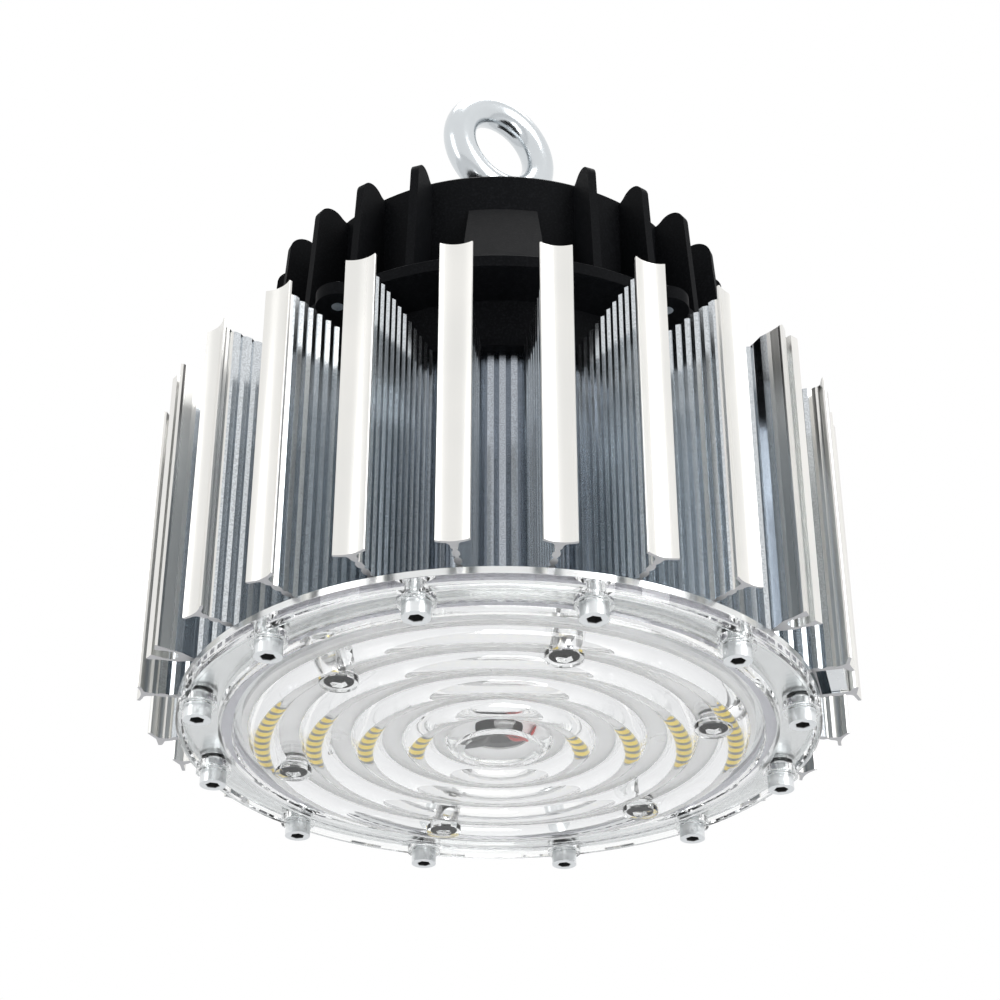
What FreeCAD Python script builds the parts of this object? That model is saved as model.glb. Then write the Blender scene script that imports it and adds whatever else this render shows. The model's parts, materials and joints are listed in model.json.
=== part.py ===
# High bay light: a ribbed driver housing with a lifting eye, over a ring of
# extruded cooling fins, over a disc that carries the LED board and a clear
# lens with ring optics.  Millimetres, +Z up, origin on the axis at the level of
# the lens screw heads.  Azimuths are counted from -Y (the front) towards +X.
import FreeCAD, Part
import math
import os

import Sketcher
from FreeCAD import Placement, Rotation, Vector

doc = FreeCAD.newDocument("HighBayLight")
sheet = doc.addObject("Spreadsheet::Sheet", "Sizes")

SIZES = {
    # levels
    "head_level": 5.0,          # underside of the lens screw heads
    "disc_bottom": 9.2,
    "disc_top": 11.2,
    "fin_bottom": 13.0,
    "fin_height": 98.0,
    # levels above the top of the fins
    "flange_bottom": 14.0,
    "flange_top": 18.5,
    "wall_top": 60.5,
    "roof_edge": 62.0,
    "roof_top": 79.0,
    "boss_top": 91.0,
    "eye_centre": 126.0,
    # heat sink
    "fin_count": 24,
    "hub_radius": 55.0,
    "hub_bore": 45.0,
    "hub_groove": 3.3,
    "hub_flute_half": 1.0,
    "hub_flute_depth": 0.9,
    "hub_flute_count": 96,
    "web_half": 1.1,
    "cap_radius": 109.7,
    "cap_half": 4.8,
    "cap_hollow": 1.2,
    "cap_lip": 0.8,
    "lip_depth": 1.0,
    "neck_fillet": 1.8,
    "neck_inset": 3.6,
    "flute_pitch": 4.0,
    "flute_first": 60.0,
    "flute_count": 12,
    "flute_half": 1.1,
    "flute_depth": 0.7,
    "port_centre": 103.2,
    "port_radius": 2.3,
    "port_wall": 1.3,
    "port_mouth": 1.7,
    "channel_half": 7.9,
    "channel_wall": 2.2,
    "channel_cap": 108.9,
    "channel_mouth": 5.5,
    "channel_cap_outer": 14.9,
    "channel_floor_in": 94.0,
    "channel_floor_out": 97.8,
    "block_clear": 0.3,
    "block_in": 100.6,
    "block_out": 105.6,
    "block_height": 24.0,
    "block_bore": 3.4,
    # disc, board and lens
    "disc_radius": 97.7,
    "land_radius": 54.0,
    "screw_circle": 92.0,
    "screw_count": 12,
    "screw_head_radius": 4.1,
    "screw_shank_radius": 2.5,
    "screw_socket": 2.3,
    "socket_depth": 2.6,
    "board_radius": 78.0,
    "board_bottom": 7.6,
    "centre_hole": 9.0,
    "lens_inner": 6.6,
    "lens_cavity": 84.0,
    "band_level": 4.8,
    "ring_pitch": 15.57,
    "ring_first": 24.7,
    "ring_half": 4.8,
    "ring_rise": 3.6,
    "shoulder_in": 80.2,
    "shoulder_out": 85.4,
    "shoulder_level": 3.6,
    "gutter_level": 7.0,
    "lip_width": 2.3,
    "lip_level": 5.2,
    "screw_boss_radius": 5.5,
    "screw_boss_level": 4.0,
    "counterbore_radius": 4.6,
    "screw_clearance": 0.25,
    "dome_radius": 16.5,
    "dome_flat": 10.5,
    "dome_level": 1.8,
    "dome_wall": 2.0,
    "dome_cavity": 15.0,
    "plug_circle": 65.6,
    "plug_count": 6,
    "plug_first": 15.0,
    "plug_neck": 4.35,
    "plug_head": 5.6,
    "plug_face": 1.0,
    "optic_gap": 0.1,
    "plug_head_height": 2.2,
    "gasket_in": 80.5,
    "gasket_height": 0.8,
    # driver housing
    "flange_radius": 79.6,
    "ear_circle": 76.4,
    "ear_radius": 7.4,
    "ear_first": 41.5,
    "wall_radius": 65.0,
    "wall_thickness": 3.5,
    "roof_in": 24.0,
    "boss_radius": 18.0,
    "rib_count": 22,
    "rib_first": 21.5,
    "rib_thick": 2.8,
    "rib_corner": 5.0,
    "rib_foot": 78.6,
    "rib_head": 76.2,
    "rib_top": 62.2,
    "rib_scoop": 59.4,
    "panel_half_angle": 9.5,
    "panel_top": 47.0,
    "panel_foot": 77.6,
    "plate_thickness": 2.0,
    "seal_thickness": 0.6,
    "seal_in": 66.0,
    "seal_out": 68.8,
    "neck_top": 62.0,
    "neck_bottom": 58.0,
    "neck_bore": 46.5,
    "flange_screw_circle": 77.0,
    "flange_screw_shank": 2.0,
    "flange_screw_head": 3.5,
    "hub_screw_circle": 49.5,
    # lifting eye
    "eye_ring": 17.0,
    "eye_wire": 5.75,
    "eye_shank": 5.0,
    "eye_collar": 10.0,
    "eye_collar_height": 4.0,
    "eye_turn": 33.0,
    "eye_nut_height": 8.0,
    "eye_nut_corner": 9.8,
    "washer_height": 2.0,
    "washer_radius": 12.0,
    "thread_depth": 12.0,
    # inside the housing
    "driver_length": 92.0,
    "driver_width": 64.0,
    "driver_board": 1.6,
    "standoff_height": 7.0,
    "standoff_radius": 2.5,
    "standoff_across": 43.0,
    "standoff_along": 27.0,
    "lead_radius": 1.1,
    "lead_bend": 3.0,
    "lead_apart": 3.2,
    "lead_end": 11.2,
    # cable entry
    "gland_offset": 46.0,
    "gland_corner": 12.5,
    "gland_bore": 4.6,
    "gland_base": 76.5,
}

for row, (alias, number) in enumerate(SIZES.items(), start=1):
    sheet.set("A%d" % row, alias.replace("_", " "))
    sheet.set("B%d" % row, str(number))
    sheet.setAlias("B%d" % row, alias)
doc.recompute()


class Size:
    """A length with its number and the expression that makes it."""

    def __init__(self, number, text):
        self.number = float(number)
        self.text = text

    def __add__(self, other):
        other = as_size(other)
        return Size(self.number + other.number, "(%s + %s)" % (self.text, other.text))

    def __sub__(self, other):
        other = as_size(other)
        return Size(self.number - other.number, "(%s - %s)" % (self.text, other.text))

    def __mul__(self, other):
        other = as_size(other)
        return Size(self.number * other.number, "(%s * %s)" % (self.text, other.text))

    def __truediv__(self, other):
        other = as_size(other)
        return Size(self.number / other.number, "(%s / %s)" % (self.text, other.text))

    def __neg__(self):
        return Size(-self.number, "(-1 * %s)" % self.text)


def as_size(value):
    return value if isinstance(value, Size) else Size(value, "%.6g" % value)


def cell(alias):
    return Size(SIZES[alias], "Sizes." + alias)


def above_fins(alias):
    """The level of something in the housing, which rides on the top of the fins."""
    return cell("fin_bottom") + cell("fin_height") + cell(alias)


def bind(thing, name, value):
    thing.setExpression(name, as_size(value).text)


# ---------------------------------------------------------------- helpers
def new_body(label):
    body = doc.addObject("PartDesign::Body", label)
    body.Label = label
    return body


def origin_feature(body, role):
    for feature in body.Origin.OriginFeatures:
        if feature.Role == role:
            return feature
    raise ValueError(role)


def new_sketch(body, role, name, level=0, turn=0.0):
    """A sketch on an origin plane, raised by level, or turned about the upright axis."""
    sketch = body.newObject("Sketcher::SketchObject", name)
    sketch.AttachmentSupport = [(origin_feature(body, role), "")]
    sketch.MapMode = "FlatFace"
    if turn:
        sketch.AttachmentOffset = Placement(Vector(0, 0, 0), Rotation(Vector(0, 1, 0), turn))
    if as_size(level).number:
        sketch.AttachmentOffset = Placement(Vector(0, 0, as_size(level).number), Rotation())
        bind(sketch, "AttachmentOffset.Base.z", level)
    return sketch


def pin(sketch, geometry, end, x, y):
    """Fix one vertex at (x, y), both bound to the sheet."""
    for kind, axis, value in (("DistanceX", -2, as_size(x)), ("DistanceY", -1, as_size(y))):
        if abs(value.number) < 1e-9:
            sketch.addConstraint(Sketcher.Constraint("PointOnObject", geometry, end, axis))
        else:
            index = sketch.addConstraint(
                Sketcher.Constraint(kind, -1, 1, geometry, end, value.number))
            if "Sizes" in value.text:
                bind(sketch, "Constraints[%d]" % index, value)


def arc_between(start, stop, radius, side):
    """Arc from start to stop; side +1 bulges to the left of the way travelled."""
    dx, dy = stop[0] - start[0], stop[1] - start[1]
    chord = math.hypot(dx, dy)
    rise = math.sqrt(max(radius ** 2 - chord ** 2 / 4.0, 0.0))
    mid = ((start[0] + stop[0]) / 2.0, (start[1] + stop[1]) / 2.0)
    left = (-dy / chord, dx / chord)
    centre = (mid[0] - side * left[0] * rise, mid[1] - side * left[1] * rise)
    via = (centre[0] + side * left[0] * radius, centre[1] + side * left[1] * radius)
    return Part.Arc(Vector(start[0], start[1], 0), Vector(via[0], via[1], 0),
                    Vector(stop[0], stop[1], 0))


def draw(sketch, loop):
    """A closed outline.  Each vertex is (x, y) or (x, y, radius, side) for an arc onward."""
    count = len(loop)
    first = sketch.GeometryCount
    spots = [(as_size(v[0]).number, as_size(v[1]).number) for v in loop]
    starts = []
    for i, vertex in enumerate(loop):
        here, there = spots[i], spots[(i + 1) % count]
        if len(vertex) == 4:
            radius = as_size(vertex[2])
            curve = arc_between(here, there, radius.number, vertex[3])
            sketch.addGeometry(curve)
            # an arc is stored counter-clockwise, so its first point may be its far end
            starts.append((1, 2) if vertex[3] < 0 else (2, 1))
        else:
            sketch.addGeometry(Part.LineSegment(Vector(here[0], here[1], 0),
                                                Vector(there[0], there[1], 0)))
            starts.append((1, 2))
    for i, vertex in enumerate(loop):
        after = (i + 1) % count
        sketch.addConstraint(Sketcher.Constraint(
            "Coincident", first + i, starts[i][1], first + after, starts[after][0]))
        pin(sketch, first + i, starts[i][0], vertex[0], vertex[1])
        if len(vertex) == 4:
            radius = as_size(vertex[2])
            index = sketch.addConstraint(
                Sketcher.Constraint("Radius", first + i, radius.number))
            if "Sizes" in radius.text:
                bind(sketch, "Constraints[%d]" % index, radius)


def draw_circle(sketch, x, y, radius):
    index = sketch.addGeometry(Part.Circle(
        Vector(as_size(x).number, as_size(y).number, 0), Vector(0, 0, 1),
        as_size(radius).number))
    pin(sketch, index, 3, x, y)
    datum = sketch.addConstraint(Sketcher.Constraint("Radius", index, as_size(radius).number))
    bind(sketch, "Constraints[%d]" % datum, radius)


def pad(body, sketch, length, midplane=False):
    feature = body.newObject("PartDesign::Pad", sketch.Name + "Pad")
    feature.Profile = sketch
    feature.Length = as_size(length).number
    bind(feature, "Length", length)
    if midplane:
        feature.Midplane = True
    body.Tip = feature
    return feature


def pocket(body, sketch, length):
    """Cut upwards from the sketch."""
    feature = body.newObject("PartDesign::Pocket", sketch.Name + "Pocket")
    feature.Profile = sketch
    feature.Length = as_size(length).number
    bind(feature, "Length", length)
    feature.Reversed = True
    body.Tip = feature
    return feature


def revolve(body, sketch, angle=360.0, midplane=False):
    feature = body.newObject("PartDesign::Revolution", sketch.Name + "Turn")
    feature.Profile = sketch
    feature.ReferenceAxis = (sketch, ["V_Axis"])
    feature.Angle = as_size(angle).number
    if isinstance(angle, Size):
        bind(feature, "Angle", angle)
    if midplane:
        feature.Midplane = True
    body.Tip = feature
    return feature


def around(body, features, count, angle=360.0):
    feature = body.newObject("PartDesign::PolarPattern", features[0].Name + "Ring")
    feature.Originals = features
    feature.Axis = (origin_feature(body, "Z_Axis"), [""])
    feature.Angle = as_size(angle).number
    if isinstance(angle, Size):
        bind(feature, "Angle", angle)
    feature.Occurrences = int(as_size(count).number)
    bind(feature, "Occurrences", count)
    body.Tip = feature
    return feature


def along(body, features, sketch, length, count):
    feature = body.newObject("PartDesign::LinearPattern", features[0].Name + "Row")
    feature.Originals = features
    feature.Direction = (sketch, ["H_Axis"])
    feature.Length = as_size(length).number
    bind(feature, "Length", length)
    feature.Occurrences = int(as_size(count).number)
    bind(feature, "Occurrences", count)
    body.Tip = feature
    return feature


def turned(label, outline):
    """A piece turned on the axis from one outline of (radius, height) vertices."""
    body = new_body(label)
    sketch = new_sketch(body, "XZ_Plane", label + "_section")
    draw(sketch, outline)
    revolve(body, sketch)
    return body


def box_outline(low_x, high_x, low_y, high_y):
    return [(low_x, low_y), (high_x, low_y), (high_x, high_y), (low_x, high_y)]


def face_azimuth(piece, azimuth):
    """Turn a piece drawn along +X so that it points at an azimuth from -Y towards +X."""
    piece.Placement = Placement(Vector(0, 0, 0), Rotation(Vector(0, 0, 1), azimuth - 90.0))


def primitive(kind, name, sizes, base=(0, 0, 0), rotation=None):
    """A Part primitive whose sizes and position are bound to the sheet."""
    thing = doc.addObject(kind, name)
    for key, value in sizes.items():
        setattr(thing, key, as_size(value).number)
        bind(thing, key, value)
    thing.Placement = Placement(Vector(*[as_size(v).number for v in base]),
                                rotation or Rotation())
    for axis, value in zip("xyz", base):
        if isinstance(value, Size):
            bind(thing, "Placement.Base." + axis, value)
    return thing


def fuse(label, pieces):
    joined = doc.addObject("Part::MultiFuse", label)
    joined.Shapes = pieces
    joined.Label = label
    return joined


def cut(label, base, tool):
    result = doc.addObject("Part::Cut", label)
    result.Base = base
    result.Tool = tool
    result.Label = label
    return result


def group_of(label, master, spots):
    """Copies of one small piece as separate solids in one node."""
    doc.recompute()
    copies = []
    for x, y, spin in spots:
        copy = master.Shape.copy()
        copy.Placement = Placement(Vector(x, y, 0), Rotation(Vector(0, 0, 1), spin)).multiply(
            copy.Placement)
        copies.append(copy)
    group = doc.addObject("Part::Feature", label)
    group.Label = label
    group.Shape = Part.makeCompound(copies)
    return group


def ring_spots(radius, azimuths):
    spots = []
    for azimuth in azimuths:
        angle = math.radians(azimuth)
        spots.append((radius * math.sin(angle), -radius * math.cos(angle), azimuth))
    return spots


nodes = []

# ---------------------------------------------------------------- cooling fins
fin_base = cell("fin_bottom")
fin_height = cell("fin_height")
fin_pitch = 360.0 / SIZES["fin_count"]
root = cell("hub_radius") - cell("hub_groove")
web = cell("web_half")
cap = cell("cap_radius")
cap_half = cell("cap_half")
lip = cell("cap_lip")
lip_back = cap - lip * 2
cap_curve = Size(9.42, "((%s - 0.2)^2 + %s^2) / (2 * %s)" % (
    cap_half.text, cell("cap_hollow").text, cell("cap_hollow").text))
cap_curve.number = ((cap_half.number - 0.2) ** 2 + SIZES["cap_hollow"] ** 2) / (
    2 * SIZES["cap_hollow"])


def flutes(body, sides):
    """V flutes along both faces of a web, repeated outwards from the hub."""
    sketch = new_sketch(body, "XY_Plane", body.Name + "_flutes", fin_base)
    first = cell("flute_first")
    half = cell("flute_half")
    depth = cell("flute_depth")
    for face, way in sides:
        outer = face + (0.2 * way)
        inner = face - depth * way
        spread = half * 1.4
        loop = [(first - spread, outer), (first + spread, outer), (first, inner)]
        draw(sketch, loop)
    cutter = pocket(body, sketch, fin_height)
    return along(body, [cutter], sketch, cell("flute_pitch") * (cell("flute_count") - 1),
                 cell("flute_count"))


def plain_fin(label, azimuth):
    body = new_body(label)
    sketch = new_sketch(body, "XY_Plane", label + "_section", fin_base)
    neck = cap - cell("neck_inset")
    fillet = cell("neck_fillet")
    draw(sketch, [
        (root, -web),
        (neck, -web, fillet, 1),
        (neck + fillet, -(web + fillet)),
        (cap - cell("lip_depth"), -cap_half),
        (cap - 0.3, -cap_half),
        (cap, -(cap_half - 0.2), cap_curve, 1),
        (cap, cap_half - 0.2),
        (cap - 0.3, cap_half),
        (cap - cell("lip_depth"), cap_half),
        (neck + fillet, web + fillet, fillet, 1),
        (neck, web),
        (root, web),
    ])
    pad(body, sketch, fin_height)
    flutes(body, [(web, 1), (-web, -1)])
    face_azimuth(body, azimuth)
    return body


def forked_fin(label, azimuth):
    """A fin whose end opens into a screw port, for a screw run in from either end."""
    body = new_body(label)
    sketch = new_sketch(body, "XY_Plane", label + "_section", fin_base)
    port = cell("port_centre")
    bore = cell("port_radius")
    outer = bore + cell("port_wall")
    mouth = cell("port_mouth")
    draw(sketch, [
        (root, -web),
        (port - outer - 2.2, -web),
        (port - outer * 0.6, -outer * 0.85),
        (port + 1.6, -outer),
        (lip_back - 0.1, -(cap_half - 0.4)),
        (cap - lip, -cap_half),
        (cap, -(cap_half - 0.2)),
        (cap - 0.7, -mouth),
        (port + 1.6, -bore),
        (port, -bore, bore * 1.04, 1),
        (port, bore),
        (port + 1.6, bore),
        (cap - 0.7, mouth),
        (cap, cap_half - 0.2),
        (cap - lip, cap_half),
        (lip_back - 0.1, cap_half - 0.4),
        (port + 1.6, outer),
        (port - outer * 0.6, outer * 0.85),
        (port - outer - 2.2, web),
        (root, web),
    ])
    pad(body, sketch, fin_height)
    flutes_short(body)
    face_azimuth(body, azimuth)
    return body


def flutes_short(body):
    """The forked fin has two flutes fewer, because its port starts further in."""
    sketch = new_sketch(body, "XY_Plane", body.Name + "_flutes", fin_base)
    first = cell("flute_first")
    spread = cell("flute_half") * 1.4
    for way in (1, -1):
        outer = web * way + 0.2 * way
        inner = (web - cell("flute_depth")) * way
        draw(sketch, [(first - spread, outer), (first + spread, outer), (first, inner)])
    cutter = pocket(body, sketch, fin_height)
    along(body, [cutter], sketch, cell("flute_pitch") * (cell("flute_count") - 3),
          cell("flute_count") - 2)


def channel_fin(label, azimuth):
    """Two parallel webs joined by a floor: a slot that takes a sliding bracket block."""
    body = new_body(label)
    sketch = new_sketch(body, "XY_Plane", label + "_section", fin_base)
    inner = cell("channel_half")
    outer = inner + cell("channel_wall")
    far = cell("channel_cap")
    edge = cell("channel_cap_outer")
    mouth = cell("channel_mouth")
    back = far - lip * 2
    neck = far - cell("neck_inset")
    fillet = cell("neck_fillet")
    shoulder = far - 3
    half = [
        (root - 0.4, inner),
        (cell("channel_floor_in"), inner),
    ]
    low = [
        (root - 0.4, -outer),
        (neck, -outer, fillet, 1),
        (neck + fillet, -(outer + fillet)),
        (far - cell("lip_depth"), -edge),
        (far - 0.3, -edge),
        (far, -(edge - 0.2)),
        (far - 1.0, -(edge + mouth) / 2),
        (far, -(mouth + 0.2)),
        (far - lip, -mouth),
        (back + 0.2, -(mouth + 0.3)),
        (shoulder, -inner),
        (cell("channel_floor_out"), -inner),
    ]
    high = [
        (cell("channel_floor_out"), inner),
        (shoulder, inner),
        (back + 0.2, mouth + 0.3),
        (far - lip, mouth),
        (far, mouth + 0.2),
        (far - 1.0, (edge + mouth) / 2),
        (far, edge - 0.2),
        (far - 0.3, edge),
        (far - cell("lip_depth"), edge),
        (neck + fillet, outer + fillet, fillet, 1),
        (neck, outer),
        (root - 0.4, outer),
    ]
    floor = [
        (cell("channel_floor_in"), -inner),
        (root - 0.4, -inner),
    ]
    draw(sketch, low + high + half + floor)
    pad(body, sketch, fin_height)
    flutes(body, [(outer, 1), (-outer, -1)])
    face_azimuth(body, azimuth)
    return body


CHANNELS = {75.0: "channel_fin_right", -105.0: "channel_fin_left"}
FORKS = (-67.5, 52.5, 172.5)
number = 0
for step in range(SIZES["fin_count"]):
    azimuth = (step + 0.5) * fin_pitch
    if azimuth > 180.0:
        azimuth -= 360.0
    if any(abs(azimuth - place) < fin_pitch for place in CHANNELS):
        continue
    number += 1
    if azimuth in FORKS:
        nodes.append(forked_fin("forked_fin_%02d" % number, azimuth))
    else:
        nodes.append(plain_fin("fin_%02d" % number, azimuth))
for azimuth, label in CHANNELS.items():
    nodes.append(channel_fin(label, azimuth))

# hub that the fins are pressed into
hub = new_body("heat_sink_hub")
hub_ring = new_sketch(hub, "XY_Plane", "hub_ring", fin_base)
draw_circle(hub_ring, 0, 0, cell("hub_radius"))
draw_circle(hub_ring, 0, 0, cell("hub_bore"))
pad(hub, hub_ring, fin_height)


def hub_cut(name, offset, azimuth, count):
    """A groove for a web's root, repeated around the hub."""
    sketch = new_sketch(hub, "XY_Plane", name, fin_base)
    sketch.AttachmentOffset = Placement(Vector(0, 0, fin_base.number),
                                        Rotation(Vector(0, 0, 1), azimuth - 90.0))
    bind(sketch, "AttachmentOffset.Base.z", fin_base)
    for low, high, depth in offset:
        draw(sketch, box_outline(root - depth, cell("hub_radius") + 2, low, high))
    cutter = pocket(hub, sketch, fin_height)
    if count > 1:
        return around(hub, [cutter], as_size(count))
    return cutter


for step in range(SIZES["fin_count"]):
    azimuth = (step + 0.5) * fin_pitch
    signed = azimuth - 360.0 if azimuth > 180.0 else azimuth
    if any(abs(signed - place) < fin_pitch for place in CHANNELS):
        continue
    hub_cut("hub_groove_%02d" % step, [(-web, web, 0.0)], azimuth, 1)
channel_in = cell("channel_half")
channel_out = channel_in + cell("channel_wall")
hub_cut("hub_channel_groove",
        [(channel_in, channel_out, 0.4), (-channel_out, -channel_in, 0.4)], 75.0, 2)
# V flutes between the fins, four to each space
hub_flute = new_sketch(hub, "XY_Plane", "hub_flute", fin_base)
flute_turn = 180.0 / SIZES["hub_flute_count"]
hub_flute.AttachmentOffset = Placement(Vector(0, 0, fin_base.number),
                                       Rotation(Vector(0, 0, 1), flute_turn))
bind(hub_flute, "AttachmentOffset.Base.z", fin_base)
draw(hub_flute, [(cell("hub_radius") + 0.2, -cell("hub_flute_half")),
                 (cell("hub_radius") + 0.2, cell("hub_flute_half")),
                 (cell("hub_radius") - cell("hub_flute_depth"), 0)])
hub_flute_cut = pocket(hub, hub_flute, fin_height)
around(hub, [hub_flute_cut], cell("hub_flute_count"))
# screw holes in both ends of the hub wall
hub_holes = new_sketch(hub, "XY_Plane", "hub_holes", fin_base)
draw_circle(hub_holes, 0, -cell("hub_screw_circle"), 2.1)
hub_hole = pocket(hub, hub_holes, fin_height)
around(hub, [hub_hole], as_size(4))
nodes.append(hub)

# sliding block for a mounting bracket, in the right-hand channel
block_half = cell("channel_half") - cell("block_clear")
block = primitive("Part::Box", "block_bar", {
    "Length": cell("block_out") - cell("block_in"), "Width": block_half * 2,
    "Height": cell("block_height")}, (cell("block_in"), -block_half, fin_base + 0.5))
block_hole = primitive("Part::Cylinder", "block_hole", {
    "Radius": cell("block_bore"), "Height": cell("block_out") - cell("block_in") + 2},
    (cell("block_in") - 1, 0, fin_base + cell("block_height") / 2 + 0.5),
    Rotation(Vector(0, 1, 0), 90))
slide = cut("bracket_block", block, block_hole)
face_azimuth(slide, 75.0)
nodes.append(slide)

# ---------------------------------------------------------------- disc and board
disc_low = cell("disc_bottom")
disc_high = cell("disc_top")
disc = turned("base_disc", [
    (cell("centre_hole"), disc_low), (cell("disc_radius"), disc_low),
    (cell("disc_radius"), disc_high), (cell("land_radius"), disc_high),
    (cell("land_radius"), fin_base), (cell("centre_hole"), fin_base)])
disc_taps = new_sketch(disc, "XY_Plane", "disc_taps", disc_low)
disc_taps.AttachmentOffset = Placement(Vector(0, 0, disc_low.number),
                                       Rotation(Vector(0, 0, 1), 180.0 / SIZES["screw_count"]))
bind(disc_taps, "AttachmentOffset.Base.z", disc_low)
draw_circle(disc_taps, 0, -cell("screw_circle"), cell("screw_shank_radius"))
disc_tap = pocket(disc, disc_taps, disc_high - disc_low)
around(disc, [disc_tap], cell("screw_count"))
disc_holes = new_sketch(disc, "XY_Plane", "disc_holes", disc_low)
draw_circle(disc_holes, 0, -cell("hub_screw_circle"), 2.1)
disc_hole = pocket(disc, disc_holes, fin_base - disc_low)
around(disc, [disc_hole], as_size(4))
nodes.append(disc)

board_low = cell("board_bottom")
board = turned("led_board", box_outline(cell("centre_hole"), cell("board_radius"),
                                        board_low, disc_low))
board_holes = new_sketch(board, "XY_Plane", "board_holes", board_low)
draw_circle(board_holes, 0, -cell("hub_screw_circle"), 2.1)
board_hole = pocket(board, board_holes, disc_low - board_low)
around(board, [board_hole], as_size(4))
nodes.append(board)

# ---------------------------------------------------------------- lens
flat = cell("band_level")
rise = cell("ring_rise")
half_ring = cell("ring_half")
lens_low = []
dome = cell("dome_radius")
lens_low += [(0, cell("dome_level")), (cell("dome_flat"), cell("dome_level"), 5.2, -1),
             (dome, flat)]
ring_radius = Size((half_ring.number ** 2 + rise.number ** 2) / (2 * rise.number),
                   "((%s^2 + %s^2) / (2 * %s))" % (half_ring.text, rise.text, rise.text))
for index in range(4):
    centre = cell("ring_first") + cell("ring_pitch") * index
    lens_low += [(centre - half_ring, flat, ring_radius, -1), (centre + half_ring, flat)]
lip_in = cell("disc_radius") - cell("lip_width")
lens_low += [
    (cell("shoulder_in"), flat),
    (cell("shoulder_in") + 0.6, cell("shoulder_level")),
    (cell("shoulder_out") - 0.6, cell("shoulder_level")),
    (cell("shoulder_out"), cell("gutter_level")),
    (lip_in, cell("gutter_level")),
    (lip_in, cell("lip_level") + 0.5),
    (lip_in + 0.5, cell("lip_level")),
    (cell("disc_radius") - 0.7, cell("lip_level")),
    (cell("disc_radius"), cell("lip_level") + 0.7),
]
lens_top = disc_low - cell("optic_gap")
lens_high = [
    (cell("disc_radius"), lens_top),
    (cell("lens_cavity"), lens_top),
    (cell("lens_cavity"), cell("lens_inner")),
    (cell("dome_cavity"), cell("lens_inner")),
    (cell("dome_cavity") - 2.4, cell("dome_level") + cell("dome_wall")),
    (0, cell("dome_level") + cell("dome_wall")),
]
lens = turned("lens", lens_low + lens_high)
half_step = 180.0 / SIZES["screw_count"]


def lens_sketch(name, level, turn):
    sketch = new_sketch(lens, "XY_Plane", name, level)
    sketch.AttachmentOffset = Placement(Vector(0, 0, level.number),
                                        Rotation(Vector(0, 0, 1), turn))
    bind(sketch, "AttachmentOffset.Base.z", level)
    return sketch


boss_sketch = lens_sketch("screw_boss", cell("screw_boss_level"), half_step)
draw_circle(boss_sketch, 0, -cell("screw_circle"), cell("screw_boss_radius"))
boss = pad(lens, boss_sketch, lens_top - cell("screw_boss_level"))
around(lens, [boss], cell("screw_count"))
bore_sketch = lens_sketch("screw_bore", cell("screw_boss_level"), half_step)
draw_circle(bore_sketch, 0, -cell("screw_circle"), cell("counterbore_radius"))
bore = pocket(lens, bore_sketch, cell("head_level") - cell("screw_boss_level"))
around(lens, [bore], cell("screw_count"))
through_sketch = lens_sketch("screw_through", cell("screw_boss_level"), half_step)
draw_circle(through_sketch, 0, -cell("screw_circle"),
            cell("screw_shank_radius") + cell("screw_clearance"))
through = pocket(lens, through_sketch, disc_low - cell("screw_boss_level"))
around(lens, [through], cell("screw_count"))
head_sketch = lens_sketch("plug_seat", cell("plug_face"), SIZES["plug_first"])
draw_circle(head_sketch, 0, -cell("plug_circle"), cell("plug_head") + cell("screw_clearance"))
head_seat = pocket(lens, head_sketch, cell("plug_head_height") + cell("optic_gap"))
around(lens, [head_seat], cell("plug_count"))
plug_sketch = lens_sketch("plug_hole", cell("plug_face"), SIZES["plug_first"])
draw_circle(plug_sketch, 0, -cell("plug_circle"), cell("plug_neck") + cell("optic_gap"))
plug_hole = pocket(lens, plug_sketch, board_low - cell("plug_face"))
around(lens, [plug_hole], cell("plug_count"))
nodes.append(lens)

gasket_low = disc_low - cell("gasket_height")
nodes.append(turned("lens_gasket", box_outline(
    cell("gasket_in"), cell("lens_cavity"), gasket_low, disc_low)))

# ---------------------------------------------------------------- screws of the lens
def socket_screw(name, head_radius, shank_radius, low, head, length, socket, depth):
    """A socket head screw pointing up, its head face at the level low."""
    head_part = primitive("Part::Cylinder", name + "_head",
                          {"Radius": head_radius, "Height": head}, (0, 0, low))
    shank = primitive("Part::Cylinder", name + "_shank",
                      {"Radius": shank_radius, "Height": length}, (0, 0, low + head))
    solid = fuse(name + "_solid", [head_part, shank])
    hexagon = doc.addObject("Part::Prism", name + "_socket")
    hexagon.Polygon = 6
    hexagon.Circumradius = as_size(socket).number
    hexagon.Height = as_size(depth).number + 1
    bind(hexagon, "Circumradius", socket)
    bind(hexagon, "Height", as_size(depth) + 1)
    hexagon.Placement = Placement(Vector(0, 0, as_size(low).number - 1), Rotation())
    return cut(name, solid, hexagon)


lens_screw = socket_screw("lens_screw_master", cell("screw_head_radius"),
                          cell("screw_shank_radius"), as_size(0), cell("head_level"),
                          disc_high - cell("head_level"), cell("screw_socket"),
                          cell("socket_depth"))
screw_azimuths = [half_step + index * 2 * half_step for index in range(SIZES["screw_count"])]
nodes.append(group_of("lens_screws", lens_screw,
                      ring_spots(SIZES["screw_circle"], screw_azimuths)))

plug = socket_screw("plug_master", cell("plug_head"), cell("plug_neck"), cell("plug_face"),
                    cell("plug_head_height"),
                    board_low - cell("plug_face") - cell("plug_head_height"),
                    as_size(2.6), as_size(1.6))
plug_azimuths = [SIZES["plug_first"] + index * 360.0 / SIZES["plug_count"]
                 for index in range(SIZES["plug_count"])]
nodes.append(group_of("lens_plugs", plug, ring_spots(SIZES["plug_circle"], plug_azimuths)))

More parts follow.
